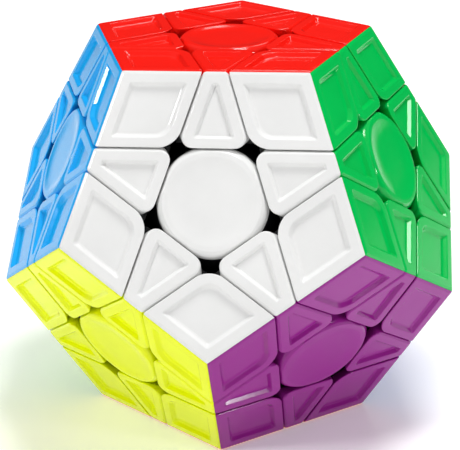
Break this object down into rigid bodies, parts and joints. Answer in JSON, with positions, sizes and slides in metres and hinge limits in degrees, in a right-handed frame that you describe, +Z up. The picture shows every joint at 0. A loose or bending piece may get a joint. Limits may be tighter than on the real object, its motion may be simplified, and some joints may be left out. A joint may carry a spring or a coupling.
{
  "type": "dodecahedron twisty puzzle",
  "caption": "Face-turning dodecahedron puzzle with glossy pentagonal faces that each turn on a sprung screw in a central core.",
  "frame": {"origin": "centre of the core, which is the centre of the whole puzzle and of its box", "axes": "+Z up through the red face, the orange face down; the white face's normal leans up from -Y; +X to the right of someone facing the white face"},
  "size_m": [0.0916, 0.0962, 0.078],
  "materials": {
    "white_plastic": "glossy moulded plastic",
    "red_plastic": "glossy moulded plastic",
    "green_plastic": "glossy moulded plastic",
    "purple_plastic": "glossy moulded plastic",
    "yellow_plastic": "glossy moulded plastic",
    "blue_plastic": "glossy moulded plastic",
    "cream_plastic": "glossy moulded plastic",
    "pink_plastic": "glossy moulded plastic",
    "lime_plastic": "glossy moulded plastic",
    "navy_plastic": "glossy moulded plastic",
    "grey_plastic": "glossy moulded plastic",
    "orange_plastic": "glossy moulded plastic",
    "inner_plastic": "smooth moulded black plastic",
    "core_plastic": "satin moulded black plastic",
    "steel": "zinc-plated steel",
    "spring_steel": "drawn spring wire"
  },
  "bodies": {
    "core": {"core": "core_plastic", "screws_and_washers": "steel", "springs": "spring_steel", "center_orange": "orange_plastic"},
    "center_white": {"center_white": "white_plastic"},
    "center_red": {"center_red": "red_plastic"},
    "center_green": {"center_green": "green_plastic"},
    "center_purple": {"center_purple": "purple_plastic", "edge_purple_orange": "inner_plastic"},
    "center_yellow": {"center_yellow": "yellow_plastic", "edge_yellow_orange": "inner_plastic"},
    "center_blue": {"center_blue": "blue_plastic"},
    "center_cream": {"center_cream": "cream_plastic"},
    "center_pink": {"center_pink": "pink_plastic"},
    "center_lime": {"center_lime": "lime_plastic", "edge_lime_orange": "inner_plastic"},
    "center_navy": {"center_navy": "navy_plastic", "edge_navy_orange": "inner_plastic"},
    "center_grey": {"center_grey": "grey_plastic", "edge_grey_orange": "inner_plastic"},
    "edge_white_red": {"edge_white_red": "inner_plastic"},
    "edge_white_green": {"edge_white_green": "inner_plastic"},
    "edge_white_purple": {"edge_white_purple": "inner_plastic"},
    "edge_white_yellow": {"edge_white_yellow": "inner_plastic"},
    "edge_white_blue": {"edge_white_blue": "inner_plastic"},
    "edge_red_green": {"edge_red_green": "inner_plastic"},
    "edge_red_blue": {"edge_red_blue": "inner_plastic"},
    "edge_red_cream": {"edge_red_cream": "inner_plastic"},
    "edge_red_pink": {"edge_red_pink": "inner_plastic"},
    "edge_green_purple": {"edge_green_purple": "inner_plastic"},
    "edge_green_cream": {"edge_green_cream": "inner_plastic"},
    "edge_green_navy": {"edge_green_navy": "inner_plastic"},
    "edge_corner_purple_yellow": {"edge_corner_purple_yellow": "inner_plastic"},
    "edge_corner_purple_navy": {"edge_corner_purple_navy": "inner_plastic"},
    "edge_yellow_blue": {"edge_yellow_blue": "inner_plastic"},
    "edge_corner_yellow_lime": {"edge_corner_yellow_lime": "inner_plastic"},
    "edge_blue_pink": {"edge_blue_pink": "inner_plastic"},
    "edge_blue_lime": {"edge_blue_lime": "inner_plastic"},
    "edge_cream_pink": {"edge_cream_pink": "inner_plastic"},
    "edge_cream_navy": {"edge_cream_navy": "inner_plastic"},
    "edge_cream_grey": {"edge_cream_grey": "inner_plastic"},
    "edge_pink_lime": {"edge_pink_lime": "inner_plastic"},
    "edge_pink_grey": {"edge_pink_grey": "inner_plastic"},
    "edge_corner_lime_grey": {"edge_corner_lime_grey": "inner_plastic"},
    "edge_corner_navy_grey": {"edge_corner_navy_grey": "inner_plastic"},
    "corner_white_red_green": {"corner_white_red_green": "inner_plastic"},
    "corner_white_red_blue": {"corner_white_red_blue": "inner_plastic"},
    "corner_white_green_purple": {"corner_white_green_purple": "inner_plastic"},
    "corner_white_purple_yellow": {"corner_white_purple_yellow": "inner_plastic"},
    "corner_white_yellow_blue": {"corner_white_yellow_blue": "inner_plastic"},
    "corner_red_green_cream": {"corner_red_green_cream": "inner_plastic"},
    "corner_red_blue_pink": {"corner_red_blue_pink": "inner_plastic"},
    "corner_red_cream_pink": {"corner_red_cream_pink": "inner_plastic"},
    "corner_green_purple_navy": {"corner_green_purple_navy": "inner_plastic"},
    "corner_green_cream_navy": {"corner_green_cream_navy": "inner_plastic"},
    "corner_yellow_blue_lime": {"corner_yellow_blue_lime": "inner_plastic"},
    "corner_blue_pink_lime": {"corner_blue_pink_lime": "inner_plastic"},
    "corner_cream_pink_grey": {"corner_cream_pink_grey": "inner_plastic"},
    "corner_cream_navy_grey": {"corner_cream_navy_grey": "inner_plastic"},
    "corner_pink_lime_grey": {"corner_pink_lime_grey": "inner_plastic"}
  },
  "joints": [
    {"name": "white_face_turn", "type": "hinge", "parent": "core", "child": "center_white", "pos_m": [0, 0, 0], "axis": [0, -0.8944, 0.4472], "range_deg": [-360, 360]},
    {"name": "red_face_turn", "type": "hinge", "parent": "core", "child": "center_red", "pos_m": [0, 0, 0], "axis": [0, 0, 1], "continuous": true},
    {"name": "green_face_turn", "type": "hinge", "parent": "core", "child": "center_green", "pos_m": [0, 0, 0], "axis": [0.8507, -0.2764, 0.4472], "range_deg": [-360, 360]},
    {"name": "purple_face_turn", "type": "hinge", "parent": "core", "child": "center_purple", "pos_m": [0, 0, 0], "axis": [0.5257, -0.7236, -0.4472], "continuous": true},
    {"name": "yellow_face_turn", "type": "hinge", "parent": "core", "child": "center_yellow", "pos_m": [0, 0, 0], "axis": [-0.5257, -0.7236, -0.4472], "range_deg": [-360, 360]},
    {"name": "blue_face_turn", "type": "hinge", "parent": "core", "child": "center_blue", "pos_m": [0, 0, 0], "axis": [-0.8507, -0.2764, 0.4472], "range_deg": [-360, 360]},
    {"name": "cream_face_turn", "type": "hinge", "parent": "core", "child": "center_cream", "pos_m": [0, 0, 0], "axis": [0.5257, 0.7236, 0.4472], "range_deg": [-360, 360]},
    {"name": "pink_face_turn", "type": "hinge", "parent": "core", "child": "center_pink", "pos_m": [0, 0, 0], "axis": [-0.5257, 0.7236, 0.4472], "range_deg": [-360, 360]},
    {"name": "lime_face_turn", "type": "hinge", "parent": "core", "child": "center_lime", "pos_m": [0, 0, 0], "axis": [-0.8507, 0.2764, -0.4472], "range_deg": [-360, 360]},
    {"name": "navy_face_turn", "type": "hinge", "parent": "core", "child": "center_navy", "pos_m": [0, 0, 0], "axis": [0.8507, 0.2764, -0.4472], "range_deg": [-360, 360]},
    {"name": "grey_face_turn", "type": "hinge", "parent": "core", "child": "center_grey", "pos_m": [0, 0, 0], "axis": [0, 0.8944, -0.4472], "continuous": true},
    {"name": "edge_white_red_turn", "type": "hinge", "parent": "center_white", "child": "edge_white_red", "pos_m": [0, 0, 0], "axis": [0, 0, 1], "continuous": true},
    {"name": "edge_white_green_turn", "type": "hinge", "parent": "center_white", "child": "edge_white_green", "pos_m": [0, 0, 0], "axis": [0.8507, -0.2764, 0.4472], "range_deg": [-360, 360]},
    {"name": "edge_white_purple_turn", "type": "hinge", "parent": "center_white", "child": "edge_white_purple", "pos_m": [0, 0, 0], "axis": [0.5257, -0.7236, -0.4472], "continuous": true},
    {"name": "edge_white_yellow_turn", "type": "hinge", "parent": "center_white", "child": "edge_white_yellow", "pos_m": [0, 0, 0], "axis": [-0.5257, -0.7236, -0.4472], "range_deg": [-360, 360]},
    {"name": "edge_white_blue_turn", "type": "hinge", "parent": "center_white", "child": "edge_white_blue", "pos_m": [0, 0, 0], "axis": [-0.8507, -0.2764, 0.4472], "range_deg": [-360, 360]},
    {"name": "edge_red_green_turn", "type": "hinge", "parent": "center_red", "child": "edge_red_green", "pos_m": [0, 0, 0], "axis": [0.8507, -0.2764, 0.4472], "range_deg": [-360, 360]},
    {"name": "edge_red_blue_turn", "type": "hinge", "parent": "center_red", "child": "edge_red_blue", "pos_m": [0, 0, 0], "axis": [-0.8507, -0.2764, 0.4472], "range_deg": [-360, 360]},
    {"name": "edge_red_cream_turn", "type": "hinge", "parent": "center_red", "child": "edge_red_cream", "pos_m": [0, 0, 0], "axis": [0.5257, 0.7236, 0.4472], "range_deg": [-360, 360]},
    {"name": "edge_red_pink_turn", "type": "hinge", "parent": "center_red", "child": "edge_red_pink", "pos_m": [0, 0, 0], "axis": [-0.5257, 0.7236, 0.4472], "range_deg": [-360, 360]},
    {"name": "edge_green_purple_turn", "type": "hinge", "parent": "center_green", "child": "edge_green_purple", "pos_m": [0, 0, 0], "axis": [0.5257, -0.7236, -0.4472], "continuous": true},
    {"name": "edge_green_cream_turn", "type": "hinge", "parent": "center_green", "child": "edge_green_cream", "pos_m": [0, 0, 0], "axis": [0.5257, 0.7236, 0.4472], "range_deg": [-360, 360]},
    {"name": "edge_green_navy_turn", "type": "hinge", "parent": "center_green", "child": "edge_green_navy", "pos_m": [0, 0, 0], "axis": [0.8507, 0.2764, -0.4472], "range_deg": [-360, 360]},
    {"name": "edge_corner_purple_yellow_turn", "type": "hinge", "parent": "center_purple", "child": "edge_corner_purple_yellow", "pos_m": [0, 0, 0], "axis": [-0.5257, -0.7236, -0.4472], "range_deg": [-360, 360]},
    {"name": "edge_corner_purple_navy_turn", "type": "hinge", "parent": "center_purple", "child": "edge_corner_purple_navy", "pos_m": [0, 0, 0], "axis": [0.8507, 0.2764, -0.4472], "range_deg": [-360, 360]},
    {"name": "edge_yellow_blue_turn", "type": "hinge", "parent": "center_yellow", "child": "edge_yellow_blue", "pos_m": [0, 0, 0], "axis": [-0.8507, -0.2764, 0.4472], "range_deg": [-360, 360]},
    {"name": "edge_corner_yellow_lime_turn", "type": "hinge", "parent": "center_yellow", "child": "edge_corner_yellow_lime", "pos_m": [0, 0, 0], "axis": [-0.8507, 0.2764, -0.4472], "range_deg": [-360, 360]},
    {"name": "edge_blue_pink_turn", "type": "hinge", "parent": "center_blue", "child": "edge_blue_pink", "pos_m": [0, 0, 0], "axis": [-0.5257, 0.7236, 0.4472], "range_deg": [-360, 360]},
    {"name": "edge_blue_lime_turn", "type": "hinge", "parent": "center_blue", "child": "edge_blue_lime", "pos_m": [0, 0, 0], "axis": [-0.8507, 0.2764, -0.4472], "range_deg": [-360, 360]},
    {"name": "edge_cream_pink_turn", "type": "hinge", "parent": "center_cream", "child": "edge_cream_pink", "pos_m": [0, 0, 0], "axis": [-0.5257, 0.7236, 0.4472], "range_deg": [-360, 360]},
    {"name": "edge_cream_navy_turn", "type": "hinge", "parent": "center_cream", "child": "edge_cream_navy", "pos_m": [0, 0, 0], "axis": [0.8507, 0.2764, -0.4472], "range_deg": [-360, 360]},
    {"name": "edge_cream_grey_turn", "type": "hinge", "parent": "center_cream", "child": "edge_cream_grey", "pos_m": [0, 0, 0], "axis": [0, 0.8944, -0.4472], "continuous": true},
    {"name": "edge_pink_lime_turn", "type": "hinge", "parent": "center_pink", "child": "edge_pink_lime", "pos_m": [0, 0, 0], "axis": [-0.8507, 0.2764, -0.4472], "range_deg": [-360, 360]},
    {"name": "edge_pink_grey_turn", "type": "hinge", "parent": "center_pink", "child": "edge_pink_grey", "pos_m": [0, 0, 0], "axis": [0, 0.8944, -0.4472], "continuous": true},
    {"name": "edge_corner_lime_grey_turn", "type": "hinge", "parent": "center_lime", "child": "edge_corner_lime_grey", "pos_m": [0, 0, 0], "axis": [0, 0.8944, -0.4472], "continuous": true},
    {"name": "edge_corner_navy_grey_turn", "type": "hinge", "parent": "center_navy", "child": "edge_corner_navy_grey", "pos_m": [0, 0, 0], "axis": [0, 0.8944, -0.4472], "continuous": true},
    {"name": "corner_white_red_green_turn", "type": "hinge", "parent": "edge_white_red", "child": "corner_white_red_green", "pos_m": [0, 0, 0], "axis": [0.8507, -0.2764, 0.4472], "range_deg": [-360, 360]},
    {"name": "corner_white_red_blue_turn", "type": "hinge", "parent": "edge_white_red", "child": "corner_white_red_blue", "pos_m": [0, 0, 0], "axis": [-0.8507, -0.2764, 0.4472], "range_deg": [-360, 360]},
    {"name": "corner_white_green_purple_turn", "type": "hinge", "parent": "edge_white_green", "child": "corner_white_green_purple", "pos_m": [0, 0, 0], "axis": [0.5257, -0.7236, -0.4472], "continuous": true},
    {"name": "corner_white_purple_yellow_turn", "type": "hinge", "parent": "edge_white_purple", "child": "corner_white_purple_yellow", "pos_m": [0, 0, 0], "axis": [-0.5257, -0.7236, -0.4472], "range_deg": [-360, 360]},
    {"name": "corner_white_yellow_blue_turn", "type": "hinge", "parent": "edge_white_yellow", "child": "corner_white_yellow_blue", "pos_m": [0, 0, 0], "axis": [-0.8507, -0.2764, 0.4472], "range_deg": [-360, 360]},
    {"name": "corner_red_green_cream_turn", "type": "hinge", "parent": "edge_red_green", "child": "corner_red_green_cream", "pos_m": [0, 0, 0], "axis": [0.5257, 0.7236, 0.4472], "range_deg": [-360, 360]},
    {"name": "corner_red_blue_pink_turn", "type": "hinge", "parent": "edge_red_blue", "child": "corner_red_blue_pink", "pos_m": [0, 0, 0], "axis": [-0.5257, 0.7236, 0.4472], "range_deg": [-360, 360]},
    {"name": "corner_red_cream_pink_turn", "type": "hinge", "parent": "edge_red_cream", "child": "corner_red_cream_pink", "pos_m": [0, 0, 0], "axis": [-0.5257, 0.7236, 0.4472], "range_deg": [-360, 360]},
    {"name": "corner_green_purple_navy_turn", "type": "hinge", "parent": "edge_green_purple", "child": "corner_green_purple_navy", "pos_m": [0, 0, 0], "axis": [0.8507, 0.2764, -0.4472], "range_deg": [-360, 360]},
    {"name": "corner_green_cream_navy_turn", "type": "hinge", "parent": "edge_green_cream", "child": "corner_green_cream_navy", "pos_m": [0, 0, 0], "axis": [0.8507, 0.2764, -0.4472], "range_deg": [-360, 360]},
    {"name": "corner_yellow_blue_lime_turn", "type": "hinge", "parent": "edge_yellow_blue", "child": "corner_yellow_blue_lime", "pos_m": [0, 0, 0], "axis": [-0.8507, 0.2764, -0.4472], "range_deg": [-360, 360]},
    {"name": "corner_blue_pink_lime_turn", "type": "hinge", "parent": "edge_blue_pink", "child": "corner_blue_pink_lime", "pos_m": [0, 0, 0], "axis": [-0.8507, 0.2764, -0.4472], "range_deg": [-360, 360]},
    {"name": "corner_cream_pink_grey_turn", "type": "hinge", "parent": "edge_cream_pink", "child": "corner_cream_pink_grey", "pos_m": [0, 0, 0], "axis": [0, 0.8944, -0.4472], "continuous": true},
    {"name": "corner_cream_navy_grey_turn", "type": "hinge", "parent": "edge_cream_navy", "child": "corner_cream_navy_grey", "pos_m": [0, 0, 0], "axis": [0, 0.8944, -0.4472], "continuous": true},
    {"name": "corner_pink_lime_grey_turn", "type": "hinge", "parent": "edge_pink_lime", "child": "corner_pink_lime_grey", "pos_m": [0, 0, 0], "axis": [0, 0.8944, -0.4472], "continuous": true}
  ],
  "couplings": [
    {"joint": "edge_white_red_turn", "follows": "red_face_turn", "ratio": 1},
    {"joint": "edge_white_green_turn", "follows": "green_face_turn", "ratio": 1},
    {"joint": "edge_white_purple_turn", "follows": "purple_face_turn", "ratio": 1},
    {"joint": "edge_white_yellow_turn", "follows": "yellow_face_turn", "ratio": 1},
    {"joint": "edge_white_blue_turn", "follows": "blue_face_turn", "ratio": 1},
    {"joint": "edge_red_green_turn", "follows": "green_face_turn", "ratio": 1},
    {"joint": "edge_red_blue_turn", "follows": "blue_face_turn", "ratio": 1},
    {"joint": "edge_red_cream_turn", "follows": "cream_face_turn", "ratio": 1},
    {"joint": "edge_red_pink_turn", "follows": "pink_face_turn", "ratio": 1},
    {"joint": "edge_green_purple_turn", "follows": "purple_face_turn", "ratio": 1},
    {"joint": "edge_green_cream_turn", "follows": "cream_face_turn", "ratio": 1},
    {"joint": "edge_green_navy_turn", "follows": "navy_face_turn", "ratio": 1},
    {"joint": "edge_corner_purple_yellow_turn", "follows": "yellow_face_turn", "ratio": 1},
    {"joint": "edge_corner_purple_navy_turn", "follows": "navy_face_turn", "ratio": 1},
    {"joint": "edge_yellow_blue_turn", "follows": "blue_face_turn", "ratio": 1},
    {"joint": "edge_corner_yellow_lime_turn", "follows": "lime_face_turn", "ratio": 1},
    {"joint": "edge_blue_pink_turn", "follows": "pink_face_turn", "ratio": 1},
    {"joint": "edge_blue_lime_turn", "follows": "lime_face_turn", "ratio": 1},
    {"joint": "edge_cream_pink_turn", "follows": "pink_face_turn", "ratio": 1},
    {"joint": "edge_cream_navy_turn", "follows": "navy_face_turn", "ratio": 1},
    {"joint": "edge_cream_grey_turn", "follows": "grey_face_turn", "ratio": 1},
    {"joint": "edge_pink_lime_turn", "follows": "lime_face_turn", "ratio": 1},
    {"joint": "edge_pink_grey_turn", "follows": "grey_face_turn", "ratio": 1},
    {"joint": "edge_corner_lime_grey_turn", "follows": "grey_face_turn", "ratio": 1},
    {"joint": "edge_corner_navy_grey_turn", "follows": "grey_face_turn", "ratio": 1},
    {"joint": "corner_white_red_green_turn", "follows": "green_face_turn", "ratio": 1},
    {"joint": "corner_white_red_blue_turn", "follows": "blue_face_turn", "ratio": 1},
    {"joint": "corner_white_green_purple_turn", "follows": "purple_face_turn", "ratio": 1},
    {"joint": "corner_white_purple_yellow_turn", "follows": "yellow_face_turn", "ratio": 1},
    {"joint": "corner_white_yellow_blue_turn", "follows": "blue_face_turn", "ratio": 1},
    {"joint": "corner_red_green_cream_turn", "follows": "cream_face_turn", "ratio": 1},
    {"joint": "corner_red_blue_pink_turn", "follows": "pink_face_turn", "ratio": 1},
    {"joint": "corner_red_cream_pink_turn", "follows": "pink_face_turn", "ratio": 1},
    {"joint": "corner_green_purple_navy_turn", "follows": "navy_face_turn", "ratio": 1},
    {"joint": "corner_green_cream_navy_turn", "follows": "navy_face_turn", "ratio": 1},
    {"joint": "corner_yellow_blue_lime_turn", "follows": "lime_face_turn", "ratio": 1},
    {"joint": "corner_blue_pink_lime_turn", "follows": "lime_face_turn", "ratio": 1},
    {"joint": "corner_cream_pink_grey_turn", "follows": "grey_face_turn", "ratio": 1},
    {"joint": "corner_cream_navy_grey_turn", "follows": "grey_face_turn", "ratio": 1},
    {"joint": "corner_pink_lime_grey_turn", "follows": "grey_face_turn", "ratio": 1}
  ]
}
